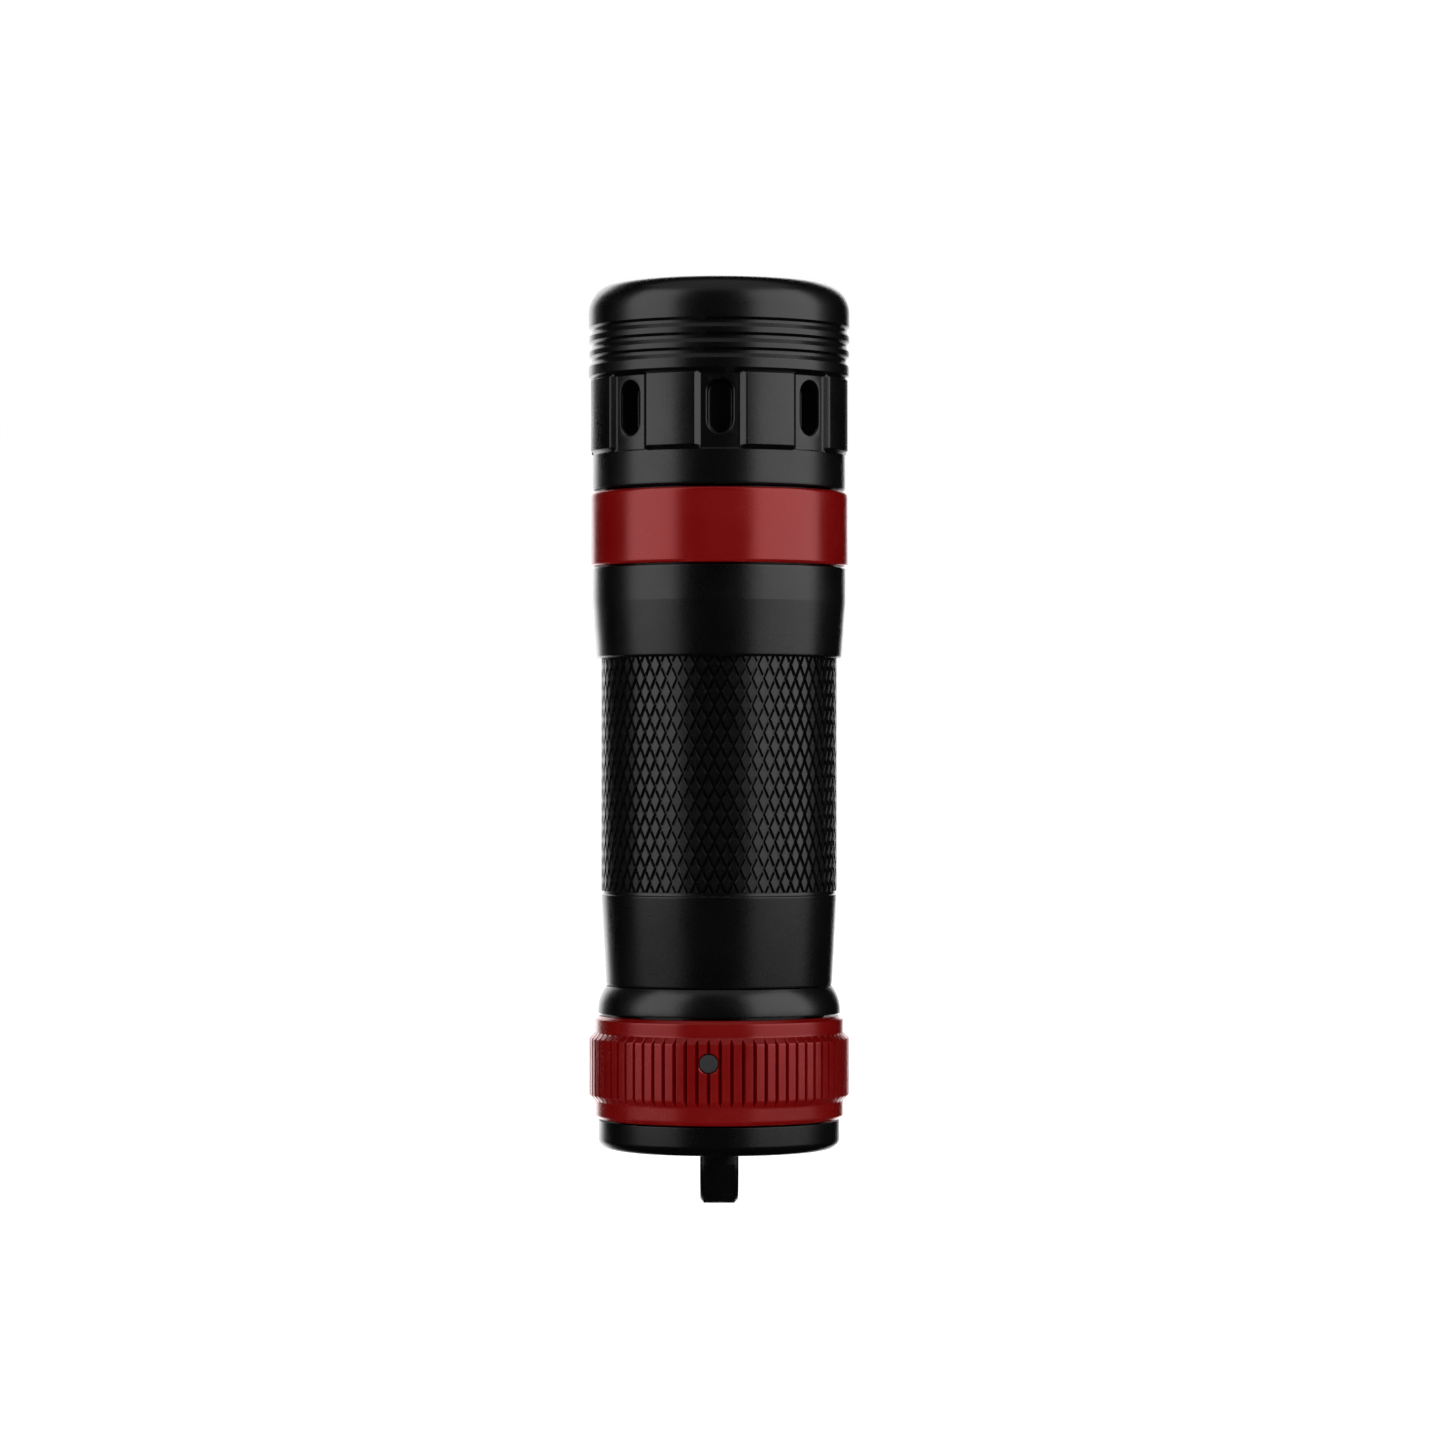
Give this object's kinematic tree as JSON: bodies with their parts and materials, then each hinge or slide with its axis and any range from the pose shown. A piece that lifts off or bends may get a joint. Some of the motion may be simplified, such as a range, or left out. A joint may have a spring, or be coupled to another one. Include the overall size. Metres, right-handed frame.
{
  "type": "keychain flashlight",
  "caption": "Cylindrical keychain flashlight with slotted head, knurled tube, trim ring, a turning switch ring with index pin on a screw-off tail, and a key-ring lug.",
  "frame": {"origin": "on the light's axis at the tip of the key-ring lug", "axes": "+Z along the light's axis towards the lens, -Y through one of the head's pockets, the key-ring hole along X"},
  "size_m": [0.0254, 0.0254, 0.0893],
  "materials": {
    "black_anodised": "satin black anodised aluminium",
    "red_anodised": "satin red anodised aluminium",
    "index_pin": "blackened steel",
    "brass": "turned brass",
    "steel": "bright steel",
    "reflector": "polished and coated aluminium",
    "rubber": "matt black nitrile",
    "white_plastic": "moulded white plastic",
    "dark_plastic": "moulded dark acetal",
    "circuit_board": "green solder mask",
    "led_board": "white solder mask on aluminium",
    "phosphor": "yellow phosphor on white ceramic",
    "cell_wrap": "blue shrink film",
    "electrode": "rolled foil",
    "lead_red": "red silicone",
    "lead_black": "black silicone",
    "glass": "coated flat glass",
    "silicone_dome": "clear silicone"
  },
  "bodies": {
    "body": {"head_housing": "black_anodised", "bezel_ring": "black_anodised", "lens_o_ring": "rubber", "lens": "glass", "reflector": "reflector", "led_centring_ring": "white_plastic", "led_dome": "silicone_dome", "led_package": "phosphor", "led_board": "led_board", "led_lead_positive": "lead_red", "led_lead_negative": "lead_black", "heat_sink_core": "brass", "driver_board": "circuit_board", "driver_inductor": "dark_plastic", "driver_chip": "dark_plastic", "driver_retaining_ring": "brass", "positive_contact_spring": "steel", "body_tube": "black_anodised", "head_o_ring": "rubber", "trim_ring": "red_anodised"},
    "cell": {"cell_can": "steel", "cell_wrap": "cell_wrap", "cell_electrode_roll": "electrode", "cell_gasket": "white_plastic", "cell_positive_cap": "steel"},
    "tail": {"tail_housing": "black_anodised", "tail_o_ring": "rubber", "rear_ring_seal": "rubber", "front_ring_seal": "rubber", "cell_seat_ring": "white_plastic", "tail_cap": "black_anodised", "tail_cap_o_ring": "rubber", "tail_contact_spring": "steel"},
    "selector": {"switch_ring": "red_anodised", "index_pin": "index_pin"},
    "contact": {"switch_plunger": "dark_plastic", "contact_rod": "brass", "contact_button": "brass"}
  },
  "joints": [
    {"name": "tail_back_off", "type": "slide", "parent": "body", "child": "cell", "axis": [0, 0, -1], "range_m": [0, 0.004]},
    {"name": "tail_unscrew", "type": "hinge", "parent": "cell", "child": "tail", "pos_m": [0, 0, 0.0212], "axis": [0, 0, -1], "range_deg": [0, 1440]},
    {"name": "switch_ring_turn", "type": "hinge", "parent": "tail", "child": "selector", "pos_m": [0, 0, 0.0134], "axis": [0, 0, 1], "range_deg": [0, 60]},
    {"name": "switch_plunger_travel", "type": "slide", "parent": "tail", "child": "contact", "axis": [0, 0, 1], "range_m": [0, 0.0012], "deforming": ["tail_contact_spring"]}
  ],
  "couplings": [
    {"joint": "tail_unscrew", "follows": "tail_back_off", "rad_per_m": 6283.2},
    {"joint": "switch_ring_turn", "follows": "switch_plunger_travel", "rad_per_m": 872.66}
  ]
}
